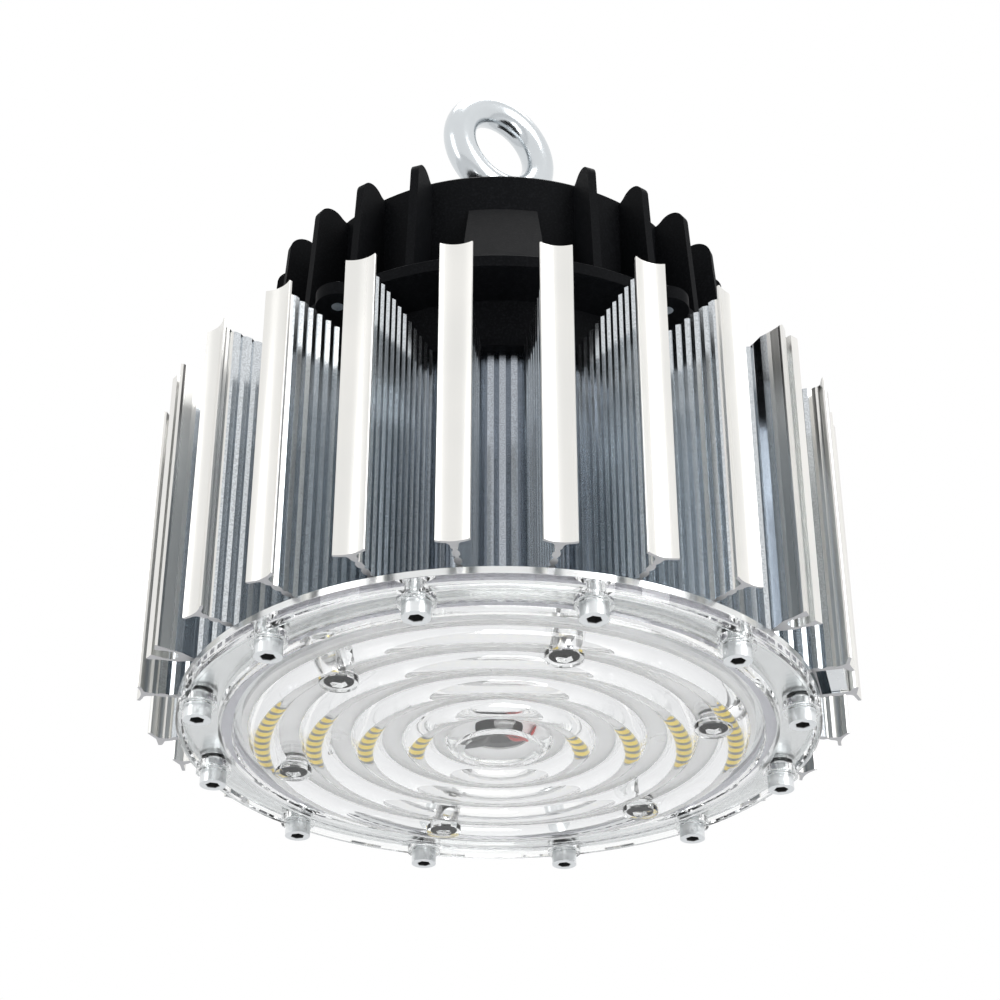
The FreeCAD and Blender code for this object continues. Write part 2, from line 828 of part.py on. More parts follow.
hub_screw = socket_screw("hub_screw_master", as_size(3.5), as_size(2.1), board_low - 1.0 + 0.2,
                         as_size(0.8), as_size(18.0), as_size(1.6), as_size(0.4))
nodes.append(group_of("board_screws", hub_screw,
                      ring_spots(SIZES["hub_screw_circle"], [0.0, 90.0, 180.0, 270.0])))

# ---------------------------------------------------------------- driver housing
flange_low = above_fins("flange_bottom")
flange_high = above_fins("flange_top")
outer_wall = cell("wall_radius")
inner_wall = outer_wall - cell("wall_thickness")
flange_edge = cell("flange_radius")
plate_low = flange_low
plate_high = plate_low + cell("plate_thickness")
seal_high = plate_high + cell("seal_thickness")
EARS = (cell("ear_first").number, -(cell("ear_first").number + 120.0))


def at_ears(body, name, circle, radius, level, height, add):
    """A boss or a hole at each of the six flange screws, three on each side."""
    for side, first in enumerate(EARS):
        sketch = new_sketch(body, "XY_Plane", "%s_%d" % (name, side), level)
        sketch.AttachmentOffset = Placement(Vector(0, 0, as_size(level).number),
                                            Rotation(Vector(0, 0, 1), first))
        bind(sketch, "AttachmentOffset.Base.z", level)
        draw_circle(sketch, 0, -circle, radius)
        feature = pad(body, sketch, height) if add else pocket(body, sketch, height)
        around(body, [feature], as_size(3), 120.0)


housing = turned("driver_housing", [
    (flange_edge, plate_high),
    (flange_edge, flange_high - 0.6),
    (flange_edge - 0.6, flange_high),
    (outer_wall, flange_high),
    (outer_wall, above_fins("wall_top")),
    (outer_wall - 1.5, above_fins("roof_edge")),
    (cell("roof_in"), above_fins("roof_top")),
    (cell("boss_radius"), above_fins("roof_top") + 2),
    (cell("boss_radius"), above_fins("boss_top") - 1),
    (cell("boss_radius") - 1, above_fins("boss_top")),
    (cell("eye_shank"), above_fins("boss_top")),
    (cell("eye_shank"), above_fins("roof_top") - 4),
    (cell("roof_in"), above_fins("roof_top") - 4),
    (inner_wall, above_fins("wall_top") - 2.5),
    (inner_wall, plate_high),
    (cell("seal_in"), plate_high),
    (cell("seal_in"), seal_high),
    (cell("seal_out"), seal_high),
    (cell("seal_out"), plate_high),
])
at_ears(housing, "flange_ear", cell("ear_circle"), cell("ear_radius"), plate_high,
        flange_high - plate_high, True)
rib_sketch = new_sketch(housing, "XZ_Plane", "rib_outline", 0, SIZES["rib_first"] - 90.0)
corner = cell("rib_corner")
rib_head = cell("rib_head")
rib_in = inner_wall + 1.2
draw(rib_sketch, [
    (rib_in, flange_high - 1),
    (cell("rib_foot"), flange_high - 1),
    (rib_head, above_fins("rib_top") - corner, corner, -1),
    (rib_head - corner * 1.643, above_fins("rib_top") - corner * 0.234, 6.0, 1),
    (outer_wall - 0.3, above_fins("rib_scoop")),
    (rib_in, above_fins("rib_scoop")),
])
rib = pad(housing, rib_sketch, cell("rib_thick"), midplane=True)
around(housing, [rib], cell("rib_count"), as_size(360.0) - cell("rib_first") * 2)
panel_sketch = new_sketch(housing, "XZ_Plane", "label_panel", 0, -90.0)
draw(panel_sketch, [
    (inner_wall + 1.2, flange_high - 1),
    (cell("panel_foot"), flange_high - 1),
    (cell("panel_foot"), flange_high),
    (outer_wall + 0.4, above_fins("panel_top")),
    (inner_wall + 1.2, above_fins("panel_top")),
])
revolve(housing, panel_sketch, cell("panel_half_angle") * 2, midplane=True)
at_ears(housing, "flange_hole", cell("flange_screw_circle"), cell("flange_screw_shank"),
        plate_high, flange_high - plate_high + 1, False)
gland_y = cell("gland_offset")
gland_seat = new_sketch(housing, "XY_Plane", "gland_boss", above_fins("gland_base") - 15)
draw_circle(gland_seat, 0, gland_y, cell("gland_corner") + 1)
pad(housing, gland_seat, 15)
gland_hole = new_sketch(housing, "XY_Plane", "gland_hole", above_fins("gland_base") - 20)
draw_circle(gland_hole, 0, gland_y, 8)
pocket(housing, gland_hole, 21)
nodes.append(housing)

neck_low = fin_base + fin_height
base = turned("housing_base", [
    (cell("eye_shank"), plate_low), (cell("neck_bore"), plate_low), (cell("neck_bore"), neck_low),
    (cell("neck_bottom"), neck_low), (cell("neck_bottom"), neck_low + 2.5),
    (cell("neck_top"), plate_low), (flange_edge, plate_low),
    (flange_edge, plate_high), (cell("eye_shank"), plate_high)])
at_ears(base, "plate_ear", cell("ear_circle"), cell("ear_radius"), plate_low,
        cell("plate_thickness"), True)
base_holes = new_sketch(base, "XY_Plane", "base_holes", neck_low)
draw_circle(base_holes, 0, -cell("hub_screw_circle"), 2.1)
base_hole = pocket(base, base_holes, plate_high - neck_low)
around(base, [base_hole], as_size(4))
at_ears(base, "plate_hole", cell("flange_screw_circle"), cell("flange_screw_shank"),
        plate_low, cell("plate_thickness"), False)
nodes.append(base)

nodes.append(turned("housing_seal", box_outline(
    cell("seal_in"), cell("seal_out"), plate_high, seal_high)))

flange_screw = primitive("Part::Cylinder", "flange_screw_head", {
    "Radius": cell("flange_screw_head"), "Height": as_size(2.6)}, (0, 0, flange_high))
flange_shank = primitive("Part::Cylinder", "flange_screw_shank", {
    "Radius": cell("flange_screw_shank"), "Height": flange_high - plate_low},
    (0, 0, plate_low))
flange_master = fuse("flange_screw_master", [flange_screw, flange_shank])
nodes.append(group_of("housing_screws", flange_master, ring_spots(
    SIZES["flange_screw_circle"], [first + 60.0 * step for first in EARS for step in range(3)])))

neck_head = primitive("Part::Cylinder", "neck_screw_head", {
    "Radius": as_size(3.5), "Height": as_size(3.0)}, (0, 0, plate_high))
neck_shank = primitive("Part::Cylinder", "neck_screw_shank", {
    "Radius": as_size(2.1), "Height": plate_high - neck_low + 12}, (0, 0, neck_low - 12))
neck_master = fuse("neck_screw_master", [neck_head, neck_shank])
nodes.append(group_of("neck_screws", neck_master, ring_spots(
    SIZES["hub_screw_circle"], [0.0, 90.0, 180.0, 270.0])))

# ---------------------------------------------------------------- lifting eye
boss_high = above_fins("boss_top")
washer_high = boss_high + cell("washer_height")
nut_high = washer_high + cell("eye_nut_height")
nodes.append(turned("eye_washer", box_outline(
    cell("eye_shank"), cell("washer_radius"), boss_high, washer_high)))
nut_solid = doc.addObject("Part::Prism", "eye_nut_solid")
nut_solid.Polygon = 6
nut_solid.Circumradius = SIZES["eye_nut_corner"]
nut_solid.Height = SIZES["eye_nut_height"]
bind(nut_solid, "Circumradius", cell("eye_nut_corner"))
bind(nut_solid, "Height", cell("eye_nut_height"))
nut_solid.Placement = Placement(Vector(0, 0, washer_high.number), Rotation())
bind(nut_solid, "Placement.Base.z", washer_high)
nut_bore = primitive("Part::Cylinder", "eye_nut_bore", {
    "Radius": cell("eye_shank"), "Height": cell("eye_nut_height") + 2},
    (0, 0, washer_high - 1))
nodes.append(cut("eye_nut", nut_solid, nut_bore))
eye_torus = primitive("Part::Torus", "eye_ring", {
    "Radius1": cell("eye_ring"), "Radius2": cell("eye_wire")}, (0, 0, above_fins("eye_centre")),
    Rotation(Vector(1, 0, 0), 90))
eye_stem = primitive("Part::Cylinder", "eye_stem", {
    "Radius": cell("eye_shank"),
    "Height": above_fins("eye_centre") - cell("eye_ring") - boss_high + cell("thread_depth")},
    (0, 0, boss_high - cell("thread_depth")))
eye_collar = primitive("Part::Cone", "eye_foot", {
    "Radius1": cell("eye_collar"), "Radius2": cell("eye_wire") + 1,
    "Height": above_fins("eye_centre") - cell("eye_ring") - nut_high}, (0, 0, nut_high))
eye = fuse("eye_bolt", [eye_torus, eye_stem, eye_collar])
eye.Placement = Placement(Vector(0, 0, 0), Rotation(Vector(0, 0, 1), SIZES["eye_turn"]))
nodes.append(eye)

# ---------------------------------------------------------------- driver
stand_high = plate_high + cell("standoff_height")
stand = primitive("Part::Cylinder", "standoff_master", {
    "Radius": cell("standoff_radius"), "Height": cell("standoff_height")},
    (0, 0, plate_high))
across, lengthways = SIZES["standoff_across"], SIZES["standoff_along"]
corners = [(sx * across, sy * lengthways, 0.0) for sx in (-1, 1) for sy in (-1, 1)]
nodes.append(group_of("driver_standoffs", stand, corners))
driver_high = stand_high + cell("driver_board")
driver = new_body("driver_board")
driver_sketch = new_sketch(driver, "XY_Plane", "driver_outline", stand_high)
long_half = cell("driver_length") / 2
wide_half = cell("driver_width") / 2
draw(driver_sketch, box_outline(-long_half, long_half, -wide_half, wide_half))
pad(driver, driver_sketch, cell("driver_board"))
nodes.append(driver)
transformer = new_body("transformer")
core_sketch = new_sketch(transformer, "XY_Plane", "transformer_core", driver_high)
draw(core_sketch, box_outline(as_size(-14), as_size(14), as_size(-13), as_size(13)))
pad(transformer, core_sketch, 24)
nodes.append(transformer)
can = primitive("Part::Cylinder", "capacitor_master", {
    "Radius": as_size(7.0), "Height": as_size(22.0)}, (0, 0, driver_high))
nodes.append(group_of("capacitors", can, [(-32.0, -14.0, 0.0), (-32.0, 4.0, 0.0),
                                          (32.0, -16.0, 0.0)]))
sink = new_body("transistor_bar")
sink_sketch = new_sketch(sink, "XY_Plane", "bar_outline", driver_high)
draw(sink_sketch, box_outline(as_size(22), as_size(40), as_size(6), as_size(9)))
pad(sink, sink_sketch, 20)
nodes.append(sink)

# ---------------------------------------------------------------- cable entry
gland_low = above_fins("gland_base")
gland_body = doc.addObject("Part::Prism", "gland_hex")
gland_body.Polygon = 6
gland_body.Circumradius = SIZES["gland_corner"]
gland_body.Height = 6
bind(gland_body, "Circumradius", cell("gland_corner"))
gland_body.Placement = Placement(Vector(0, SIZES["gland_offset"], gland_low.number), Rotation())
gland_tail = primitive("Part::Cylinder", "gland_tail", {
    "Radius": as_size(8.0), "Height": as_size(24.0)}, (0, gland_y, gland_low - 12))
gland_fused = fuse("gland_fused", [gland_body, gland_tail])
gland_bore = primitive("Part::Cylinder", "gland_bore", {
    "Radius": cell("gland_bore") + 1.6, "Height": as_size(30.0)}, (0, gland_y, gland_low - 14))
nodes.append(cut("cable_gland", gland_fused, gland_bore))
sleeve = primitive("Part::Cylinder", "sleeve_outer", {
    "Radius": cell("gland_bore") + 1.6, "Height": as_size(16.0)}, (0, gland_y, gland_low - 2))
sleeve_bore = primitive("Part::Cylinder", "sleeve_bore", {
    "Radius": cell("gland_bore"), "Height": as_size(20.0)}, (0, gland_y, gland_low - 4))
nodes.append(cut("gland_sleeve", sleeve, sleeve_bore))
nut_low = gland_low + 6
cap_base = primitive("Part::Cylinder", "gland_cap_base", {
    "Radius": as_size(11.0), "Height": as_size(8.0)}, (0, gland_y, nut_low))
cap_tip = primitive("Part::Cone", "gland_cap_tip", {
    "Radius1": as_size(11.0), "Radius2": as_size(8.0), "Height": as_size(5.0)},
    (0, gland_y, nut_low + 8))
cap_joined = fuse("gland_cap_joined", [cap_base, cap_tip])
cap_inner = primitive("Part::Cylinder", "gland_cap_inner", {
    "Radius": as_size(8.0), "Height": as_size(8.0)}, (0, gland_y, nut_low - 2))
cap_stage = cut("gland_cap_stage", cap_joined, cap_inner)
cap_bore = primitive("Part::Cylinder", "gland_cap_bore", {
    "Radius": cell("gland_bore") + 1.6, "Height": as_size(20.0)}, (0, gland_y, nut_low - 1))
nodes.append(cut("gland_cap", cap_stage, cap_bore))

# ---------------------------------------------------------------- wires to the LED board
grommet = turned("wire_grommet", [
    (6.0, disc_low - 1.0), (cell("centre_hole"), disc_low - 1.0), (cell("centre_hole"), fin_base),
    (cell("centre_hole") + 2, fin_base), (cell("centre_hole") + 2, fin_base + 1.5),
    (6.0, fin_base + 1.5)])
nodes.append(grommet)


def lead(label, side):
    """A lead that drops from the driver and turns out to its pad on the board."""
    radius, bend = SIZES["lead_radius"], SIZES["lead_bend"]
    apart = side * SIZES["lead_apart"]
    low = board_low.number - radius - 0.1
    top = Vector(apart, 0, (plate_high + 4).number)
    drop = Vector(apart, 0, low + bend)
    mid = Vector(apart + side * bend * (1 - math.sqrt(0.5)), 0, low + bend * (1 - math.sqrt(0.5)))
    out = Vector(apart + side * bend, 0, low)
    end = Vector(side * SIZES["lead_end"], 0, low)
    path = Part.Wire([Part.makeLine(top, drop), Part.Arc(drop, mid, out).toShape(),
                      Part.makeLine(out, end)])
    section = Part.Wire([Part.makeCircle(radius, top, Vector(0, 0, -1))])
    piece = doc.addObject("Part::Feature", label)
    piece.Label = label
    piece.Shape = path.makePipeShell([section], True, False)
    piece.Placement = Placement(Vector(0, 0, 0), Rotation(Vector(0, 0, 1), -20.0))
    return piece


nodes.append(lead("red_lead", 1))
nodes.append(lead("black_lead", -1))

# ---------------------------------------------------------------- checks and files
doc.recompute()
failed = [thing.Name for thing in doc.Objects
          if "Invalid" in thing.State or "Error" in thing.State]
if failed:
    raise RuntimeError("failed: " + ", ".join(failed))
os.makedirs("parts", exist_ok=True)
for node in nodes:
    shape = node.Shape
    if shape.isNull() or not shape.isValid():
        raise RuntimeError("bad shape: " + node.Label)
    shape.exportStep("parts/%s.step" % node.Label)
print(len(nodes), "nodes written")
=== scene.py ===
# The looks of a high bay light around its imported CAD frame.  Metres, +Z up.
import json
import math

import bpy
from mathutils import Matrix, Vector


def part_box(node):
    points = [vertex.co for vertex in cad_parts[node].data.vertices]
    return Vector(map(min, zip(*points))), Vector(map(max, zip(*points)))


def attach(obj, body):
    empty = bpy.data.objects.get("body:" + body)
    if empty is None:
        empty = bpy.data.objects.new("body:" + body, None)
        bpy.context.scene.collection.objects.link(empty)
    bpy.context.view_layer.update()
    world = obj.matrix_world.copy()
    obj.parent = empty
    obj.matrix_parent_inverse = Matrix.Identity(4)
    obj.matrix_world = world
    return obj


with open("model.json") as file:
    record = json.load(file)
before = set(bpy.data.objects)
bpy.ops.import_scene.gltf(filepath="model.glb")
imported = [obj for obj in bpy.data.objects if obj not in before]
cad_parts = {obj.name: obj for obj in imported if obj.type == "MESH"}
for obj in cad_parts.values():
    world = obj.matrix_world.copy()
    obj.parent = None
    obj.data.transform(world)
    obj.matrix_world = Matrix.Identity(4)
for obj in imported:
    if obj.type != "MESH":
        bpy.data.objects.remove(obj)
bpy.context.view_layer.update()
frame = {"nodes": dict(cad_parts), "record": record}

NODES = frame["nodes"]
MM = 0.001


# ---------------------------------------------------------------- node helpers
class Nodes:
    """A node tree built step by step."""

    def __init__(self, tree, output):
        self.tree = tree
        tree.nodes.clear()
        self.out = self.add(output)

    def add(self, kind, **settings):
        node = self.tree.nodes.new(kind)
        for key, value in settings.items():
            setattr(node, key, value)
        return node

    def link(self, source, target):
        self.tree.links.new(source, target)

    def mix(self, factor, first, second):
        node = self.add("ShaderNodeMix", data_type="RGBA")
        self.link(factor, node.inputs["Factor"])
        for source, socket in ((first, node.inputs["A"]), (second, node.inputs["B"])):
            if isinstance(source, tuple):
                socket.default_value = (*source, 1)
            else:
                self.link(source, socket)
        return node.outputs["Result"]

    def maths(self, operation, first, second=0.0):
        node = self.add("ShaderNodeMath", operation=operation)
        for source, socket in ((first, node.inputs[0]), (second, node.inputs[1])):
            if isinstance(source, (int, float)):
                socket.default_value = source
            else:
                self.link(source, socket)
        return node.outputs[0]

    def glow(self, strength, colour=(1, 1, 1)):
        """Light given off: a background in the world's tree, an emission in a material's."""
        kind = "Background" if self.out.bl_idname.endswith("World") else "Emission"
        node = self.add("ShaderNode" + kind)
        node.inputs["Strength"].default_value = strength
        node.inputs["Color"].default_value = (*colour, 1)
        return node.outputs[0]

    def blend(self, factor, first, second):
        node = self.add("ShaderNodeMixShader")
        for source, socket in zip((factor, first, second), node.inputs):
            self.link(source, socket)
        return node.outputs[0]


class Shader(Nodes):
    """A material; the principled shader is ready at the start."""

    def __init__(self, name):
        self.material = bpy.data.materials.new(name)
        self.material.use_nodes = True
        super().__init__(self.material.node_tree, "ShaderNodeOutputMaterial")
        self.bsdf = self.add("ShaderNodeBsdfPrincipled")
        self.link(self.bsdf.outputs[0], self.out.inputs["Surface"])
        self.coords = self.add("ShaderNodeTexCoord").outputs["Object"]

    def fixed(self, **values):
        """Constants set on the shader's own sockets."""
        for key, value in values.items():
            self.bsdf.inputs[key.replace("_", " ")].default_value = value

    def noise(self, scale, detail=3.0, vector=None):
        node = self.add("ShaderNodeTexNoise")
        node.inputs["Scale"].default_value = scale
        node.inputs["Detail"].default_value = detail
        self.link(vector or self.coords, node.inputs["Vector"])
        return node.outputs["Fac"]

    def stretched(self, scale):
        """The object's coordinates, scaled differently along each axis."""
        mapping = self.add("ShaderNodeMapping")
        mapping.inputs["Scale"].default_value = scale
        self.link(self.coords, mapping.inputs["Vector"])
        return mapping.outputs[0]

    def spread(self, value, low, high, start=0.0, end=1.0):
        node = self.add("ShaderNodeMapRange")
        for key, number in (("From Min", start), ("From Max", end),
                            ("To Min", low), ("To Max", high)):
            node.inputs[key].default_value = number
        self.link(value, node.inputs["Value"])
        return node.outputs[0]

    def bump(self, height, strength, distance):
        node = self.add("ShaderNodeBump")
        node.inputs["Strength"].default_value = strength
        node.inputs["Distance"].default_value = distance
        self.link(height, node.inputs["Height"])
        self.link(node.outputs[0], self.bsdf.inputs["Normal"])

    def from_axis(self):
        """Distance from the light's upright axis."""
        flat = self.add("ShaderNodeVectorMath", operation="MULTIPLY")
        self.link(self.coords, flat.inputs[0])
        flat.inputs[1].default_value = (1, 1, 0)
        length = self.add("ShaderNodeVectorMath", operation="LENGTH")
        self.link(flat.outputs[0], length.inputs[0])
        return length.outputs["Value"]

    def facing_down(self):
        """1 where the surface looks straight down, as a saw-cut fin end does."""
        geometry = self.add("ShaderNodeNewGeometry")
        split = self.add("ShaderNodeSeparateXYZ")
        self.link(geometry.outputs["True Normal"], split.inputs[0])
        return self.maths("LESS_THAN", split.outputs["Z"], DOWNWARDS)


# ---------------------------------------------------------------- materials
CAP_INSIDE = 103.5 * MM                # the fins are webs up to here, caps beyond
DIE_LINES = (1300.0, 1300.0, 4.0)      # noise scales that draw out into lines along Z
# painted shade on the webs between the fins: a darker, bluish tint with a fine speckle
WEB_SHADE_TINT, WEB_SPECK = (0.88, 0.93, 1.0), 0.78
SAWN_COLOUR, SAWN_ROUGH = (0.50, 0.50, 0.51), 0.62
DOWNWARDS = -0.9                       # upright part of a normal that faces down


def extruded(name, pale, dark, rough):
    """Satin aluminium with faint die lines along Z, smoother webs whose colour is a painted
    shade, darker and bluish, between the fins, and dull sawn ends.
    """
    shader = Shader(name)
    lines = shader.noise(1.0, 1.0, shader.stretched(DIE_LINES))
    cloud = shader.noise(38.0, 3.0)
    tint = shader.mix(shader.spread(cloud, 0.0, 1.0, 0.3, 0.7), dark, pale)
    web = shader.maths("LESS_THAN", shader.from_axis(), CAP_INSIDE)
    grain = shader.noise(2400.0, 1.0)
    # painted shade: inside CAP_INSIDE the webs take a darker, bluish, speckled colour than the
    # caps
    painted_web_shade = tuple(part * share for part, share in zip(dark, WEB_SHADE_TINT))
    speckled_web_shade = shader.mix(shader.spread(grain, 0.0, 1.0, 0.40, 0.60), painted_web_shade,
                          tuple(part * WEB_SPECK for part in painted_web_shade))
    tint = shader.mix(web, tint, speckled_web_shade)
    cut_end = shader.facing_down()
    shader.link(shader.mix(cut_end, tint, SAWN_COLOUR), shader.bsdf.inputs["Base Color"])
    sheen = shader.spread(lines, rough - 0.02, rough + 0.03, 0.3, 0.7)
    sheen = shader.maths("MULTIPLY", sheen, shader.spread(web, 1.0, 0.5))
    shader.link(shader.maths("MAXIMUM", sheen, shader.maths("MULTIPLY", cut_end, SAWN_ROUGH)),
                shader.bsdf.inputs["Roughness"])
    shader.fixed(Metallic=1.0)
    shader.bump(lines, 0.03, 0.00002)
    return shader.material


def plated(name, colour, rough, grain=900.0):
    """Smooth metal with a faint mottled bloom."""
    shader = Shader(name)
    mottle = shader.noise(grain, 4.0)
    cloud = shader.noise(120.0, 2.0)
    pale = tuple(min(1.0, part * 1.12) for part in colour)
    shader.link(shader.mix(cloud, colour, pale), shader.bsdf.inputs["Base Color"])
    shader.link(shader.spread(mottle, rough - 0.03, rough + 0.04, 0.3, 0.7),
                shader.bsdf.inputs["Roughness"])
    shader.fixed(Metallic=1.0)
    shader.bump(mottle, 0.05, 0.00002)
    return shader.material


def powder_coat(name, colour):
    """Black paint with a fine, even grain."""
    shader = Shader(name)
    grain = shader.noise(1500.0, 2.0)
    speck = shader.spread(grain, 0.0, 1.0, 0.45, 0.72)
    pale = tuple(part * 1.8 + 0.002 for part in colour)
    shader.link(shader.mix(speck, colour, pale), shader.bsdf.inputs["Base Color"])
    shader.link(shader.spread(grain, 0.46, 0.64, 0.3, 0.7), shader.bsdf.inputs["Roughness"])
    shader.fixed(Specular_IOR_Level=0.03)
    shader.bump(grain, 0.30, 0.00012)
    return shader.material


def moulded(name, colour, rough, grain=800.0, strength=0.15):
    """Plastic, rubber or lacquer with a fine moulded grain."""
    shader = Shader(name)
    fine = shader.noise(grain, 3.0)
    cloud = shader.noise(70.0, 2.0)
    pale = tuple(min(1.0, part * 1.15 + 0.004) for part in colour)
    shader.link(shader.mix(cloud, colour, pale), shader.bsdf.inputs["Base Color"])
    shader.link(shader.spread(fine, rough - 0.05, rough + 0.05, 0.3, 0.7),
                shader.bsdf.inputs["Roughness"])
    shader.bump(fine, strength, 0.00005)
    return shader.material


def clear(name, colour, ior):
    """Clear polycarbonate with the slight flow ripple of a moulding."""
    shader = Shader(name)
    ripple = shader.noise(55.0, 1.5)
    haze = shader.noise(300.0, 2.0)
    pale = tuple(min(1.0, part * 1.01) for part in colour)
    shader.link(shader.mix(haze, colour, pale), shader.bsdf.inputs["Base Color"])
    shader.link(shader.spread(haze, 0.0, 0.03, 0.3, 0.8), shader.bsdf.inputs["Roughness"])
    shader.fixed(Transmission_Weight=1.0, IOR=ior)
    shader.bump(ripple, 0.05, 0.0004)
    return shader.material


MATERIALS = {
    "fin_aluminium": extruded("fin_aluminium", (0.82, 0.81, 0.78), (0.77, 0.765, 0.74), 0.29),
    "hub_aluminium": extruded("hub_aluminium", (0.56, 0.57, 0.58), (0.48, 0.49, 0.50), 0.26),
    "disc_aluminium": plated("disc_aluminium", (0.74, 0.75, 0.75), 0.20),
    "zinc_steel": plated("zinc_steel", (0.72, 0.74, 0.75), 0.30),
    "eye_steel": plated("eye_steel", (0.60, 0.63, 0.65), 0.17, 1500.0),
    "housing_black": powder_coat("housing_black", (0.0035, 0.0038, 0.0045)),
    "seal_rubber": moulded("seal_rubber", (0.03, 0.03, 0.03), 0.7),
    "gasket_grey": moulded("gasket_grey", (0.52, 0.52, 0.57), 0.5),
    "brass_post": plated("brass_post", (0.72, 0.56, 0.26), 0.3),
    "board_green": moulded("board_green", (0.02, 0.16, 0.06), 0.4),
    "winding_yellow": moulded("winding_yellow", (0.70, 0.52, 0.08), 0.45),
    "capacitor_sleeve": moulded("capacitor_sleeve", (0.03, 0.035, 0.06), 0.3),
    "gland_black": moulded("gland_black", (0.018, 0.018, 0.020), 0.45),
    "board_white": moulded("board_white", (0.88, 0.875, 0.88), 0.38, 500.0, 0.05),
    "clear_lens": clear("clear_lens", (0.985, 0.99, 0.988), 1.50),
    "lead_red": moulded("lead_red", (0.50, 0.02, 0.015), 0.35),
    "lead_black": moulded("lead_black", (0.012, 0.012, 0.012), 0.35),
}
for part in frame["record"]["subparts"]:
    node = NODES[part["node"]]
    for index in range(max(1, len(node.material_slots))):
        if not node.material_slots:
            node.data.materials.append(None)
        node.material_slots[index].material = MATERIALS[part["material_slot"]]

# ---------------------------------------------------------------- LED chips
BOARD_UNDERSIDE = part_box("led_board")[0][2]
RING_COUNT, FIRST_RING, RING_PITCH, CHIP_PITCH = 4, 24.7 * MM, 15.57 * MM, 4.4 * MM
BODY, WINDOW, SIDE = range(3)      # the chips' materials, in the order they are added
CHIP_LONG, CHIP_WIDE, CHIP_HIGH = 1.75 * MM, 2.0 * MM, 0.65 * MM
# outline of the package, rim and phosphor window: share of length, share of width, drop
CHIP_STEPS = [(1.0, 1.0, 0.0), (1.0, 1.0, CHIP_HIGH), (0.92, 0.68, CHIP_HIGH),
              (0.86, 0.62, CHIP_HIGH * 0.8)]


def polar(azimuth):
    """Outward and sideways directions at an azimuth counted from -Y towards +X."""
    return (Vector((math.sin(azimuth), -math.cos(azimuth), 0)),
            Vector((math.cos(azimuth), math.sin(azimuth), 0)))


def chip(azimuth, radius, vertices, faces, kinds):
    """One LED package under the board: grey body, pale inner and outer sides, sunk window."""
    outward, along = polar(azimuth)
    first = len(vertices)
    for long_share, wide_share, drop in CHIP_STEPS:
        for side, way in ((-1, -1), (1, -1), (1, 1), (-1, 1)):
            spot = (outward * (radius + CHIP_LONG * long_share * side)
                    + along * CHIP_WIDE * wide_share * way)
            vertices.append((spot.x, spot.y, BOARD_UNDERSIDE - drop))
    levels = len(CHIP_STEPS) - 1
    for level in range(levels):
        for corner in range(4):
            after = (corner + 1) % 4
            low, high = first + 4 * level, first + 4 * level + 4
            faces.append((low + corner, high + corner, high + after, low + after))
            kinds.append(WINDOW if level == levels - 1 else SIDE if corner in (1, 3) else BODY)
    faces.append(tuple(first + 4 * levels + corner for corner in (3, 2, 1, 0)))
    kinds.append(WINDOW)
    faces.append(tuple(first + corner for corner in (0, 1, 2, 3)))
    kinds.append(BODY)


def led_chips():
    """Rings of LED packages, one under each ring optic of the lens."""
    vertices, faces, kinds = [], [], []
    for ring in range(RING_COUNT):
        radius = FIRST_RING + RING_PITCH * ring
        count = round(2 * math.pi * radius / CHIP_PITCH)
        for index in range(count):
            chip(2 * math.pi * index / count, radius, vertices, faces, kinds)
    mesh = bpy.data.meshes.new("led_chips")
    mesh.from_pydata(vertices, [], faces)
    mesh.materials.append(moulded("chip_body", (0.10, 0.115, 0.14), 0.4))
    mesh.materials.append(moulded("chip_phosphor", (0.80, 0.60, 0.02), 0.5, 3000.0, 0.3))
    mesh.materials.append(moulded("chip_side", (0.60, 0.60, 0.60), 0.4))
    mesh.polygons.foreach_set("material_index", kinds)
    piece = bpy.data.objects.new("led_chips", mesh)
    bpy.context.scene.collection.objects.link(piece)
    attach(piece, "root")


led_chips()

# ---------------------------------------------------------------- painted shade in the screw sockets
SCREW_CIRCLE, SCREW_COUNT = 92.0 * MM, 12
CUP_OUTER, CUP_INNER, CUP_MOUTH, CUP_FLOOR, CUP_TOP = (size * MM for size in
                                                       (2.25, 2.10, 0.2, 2.3, 2.55))
# outline of each dark cup that paints the socket's shade, from its closed end round the mouth and
# back in: radius, level
CUP_STEPS = [(CUP_OUTER, CUP_TOP), (CUP_OUTER, CUP_MOUTH),
             (CUP_INNER, CUP_MOUTH), (CUP_INNER, CUP_FLOOR)]


def socket_shade_cups():
    """Dark hexagon cups inside the heads of the lens screws: painted shade in the sockets."""
    vertices, faces = [], []
    for index in range(SCREW_COUNT):
        azimuth = math.pi * (2 * index + 1) / SCREW_COUNT
        centre = polar(azimuth)[0] * SCREW_CIRCLE
        first = len(vertices)
        for radius, level in CUP_STEPS:
            for corner in range(6):
                angle = azimuth + corner * math.pi / 3
                vertices.append((centre.x + radius * math.cos(angle),
                                 centre.y + radius * math.sin(angle), level))
        loops = len(CUP_STEPS) - 1
        for loop in range(loops):
            for corner in range(6):
                low, high = first + 6 * loop, first + 6 * loop + 6
                after = (corner + 1) % 6
                faces.append((low + corner, high + corner, high + after, low + after))
        faces.append(tuple(first + corner for corner in range(6)))
        faces.append(tuple(first + 6 * loops + corner for corner in range(5, -1, -1)))
    mesh = bpy.data.meshes.new("socket_shade_cups")
    mesh.from_pydata(vertices, [], faces)
    # a near-black material paints the shade deep in each socket
    mesh.materials.append(moulded("socket_painted_shade", (0.006, 0.006, 0.006), 0.5))
    piece = bpy.data.objects.new("socket_shade_cups", mesh)
    bpy.context.scene.collection.objects.link(piece)
    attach(piece, "root")


socket_shade_cups()

# ---------------------------------------------------------------- studio
scene = bpy.context.scene
scene.view_settings.view_transform = "Standard"

world = bpy.data.worlds.new("studio")
scene.world = world
world.use_nodes = True
studio = Nodes(world.node_tree, "ShaderNodeOutputWorld")
paths = studio.add("ShaderNodeLightPath").outputs
WHITE, SURROUND, SURROUND_TINT = 1.0, 0.36, (0.95, 0.97, 1.0)
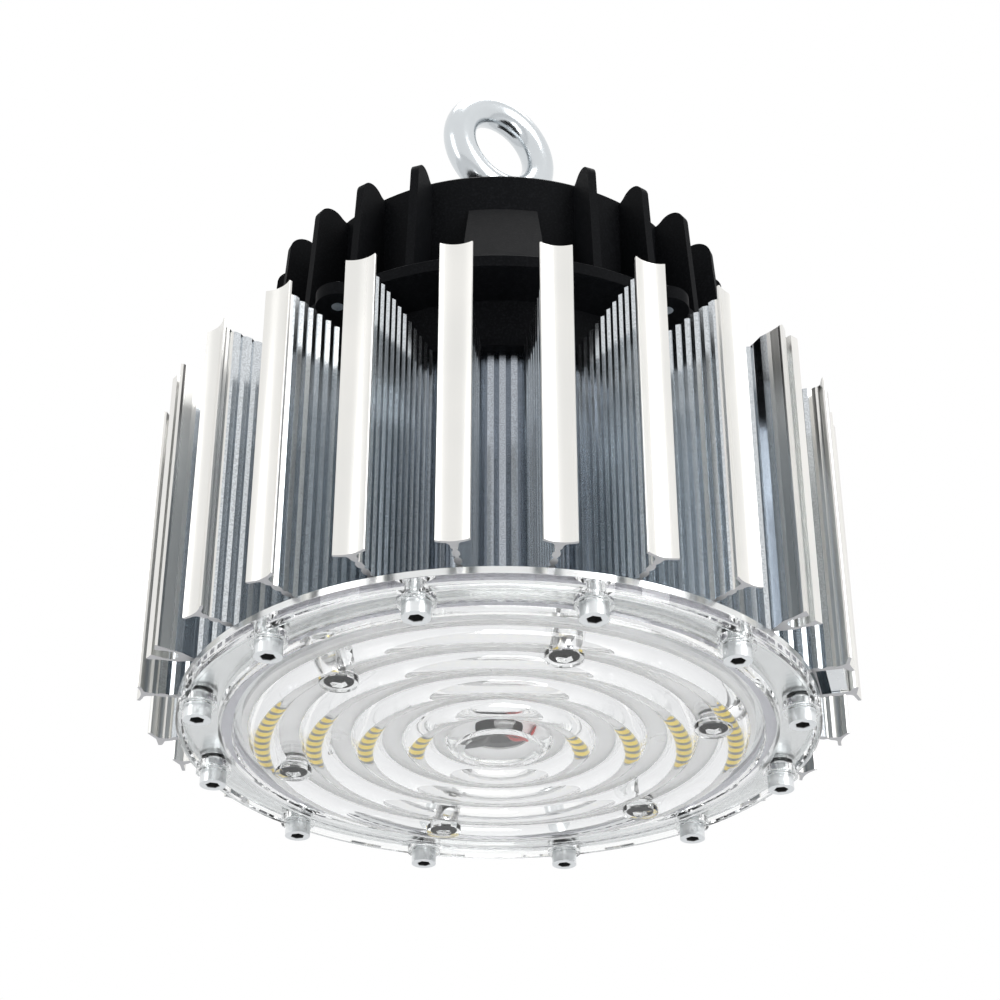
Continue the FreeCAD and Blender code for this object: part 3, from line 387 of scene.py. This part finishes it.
# the camera, metal and glass all see the same white; the rest is soft surrounding light
seen = studio.maths("MAXIMUM", paths["Is Camera Ray"],
                    studio.maths("MAXIMUM", paths["Is Glossy Ray"], paths["Is Transmission Ray"]))
studio.link(studio.blend(seen, studio.glow(SURROUND, SURROUND_TINT), studio.glow(WHITE)),
            studio.out.inputs["Surface"])


def lamp(name, place, aim, width, height, power):
    """A soft box: a rectangle of light turned towards a point."""
    light = bpy.data.lights.new(name, "AREA")
    light.shape = "RECTANGLE"
    light.size, light.size_y = width, height
    light.energy = power
    piece = bpy.data.objects.new(name, light)
    piece.location = place
    piece.rotation_euler = (Vector(aim) - Vector(place)).to_track_quat("-Z", "Y").to_euler()
    scene.collection.objects.link(piece)


MIDDLE = (0, 0, 0.1)
lamp("key_right", (1.1, -1.1, 0.5), MIDDLE, 0.7, 1.1, 11)
lamp("fill_left", (-1.3, -0.8, 0.3), MIDDLE, 0.5, 1.1, 4)
lamp("top", (0.1, 0.1, 1.4), MIDDLE, 1.0, 1.0, 10)
lamp("low_front", (0.2, -0.8, -0.8), MIDDLE, 0.8, 0.5, 7)

# a plain pale floor, well below the hanging light
FLOOR_LEVEL, FLOOR_HALF, FLOOR_LIFT = -1.1, 6, 0.45
corners = [(x * FLOOR_HALF, y * FLOOR_HALF, FLOOR_LEVEL)
           for x, y in ((-1, -1), (1, -1), (1, 1), (-1, 1))]
mesh = bpy.data.meshes.new("floor")
mesh.from_pydata(corners, [], [(0, 1, 2, 3)])
shader = Shader("floor")
shader.link(shader.mix(shader.noise(3.0), (0.80, 0.80, 0.80), (0.84, 0.84, 0.84)),
            shader.bsdf.inputs["Base Color"])
shader.fixed(Roughness=0.8)
lifted = shader.add("ShaderNodeAddShader")
shader.link(shader.bsdf.outputs[0], lifted.inputs[0])
shader.link(shader.glow(FLOOR_LIFT), lifted.inputs[1])
shader.link(lifted.outputs[0], shader.out.inputs["Surface"])
mesh.materials.append(shader.material)
floor = bpy.data.objects.new("floor", mesh)
scene.collection.objects.link(floor)

# ---------------------------------------------------------------- camera
TURN = math.radians(-1.1)
TILT = math.radians(31.04)         # the camera hangs below the light and looks up
SENSOR, FOCAL_SHARE = 36.0, 2.119  # focal length as a share of the sensor's width
CAMERA_PLACE = (0.0003, -0.5899, -0.2645)
LIGHT_BOUNCES = 32                 # enough for the rays trapped in the ring optics
camera_data = bpy.data.cameras.new("camera")
camera_data.sensor_width = SENSOR
camera_data.lens = SENSOR * FOCAL_SHARE
camera_data.dof.use_dof = False
camera_data.clip_start = 0.01
camera = bpy.data.objects.new("camera", camera_data)
camera.location = Matrix.Rotation(TURN, 3, "Z") @ Vector(CAMERA_PLACE)
camera.rotation_euler = (math.pi / 2 + TILT, 0, TURN)
scene.collection.objects.link(camera)
scene.camera = camera
for limit in ("max_bounces", "transmission_bounces", "glossy_bounces"):
    setattr(scene.cycles, limit, LIGHT_BOUNCES)
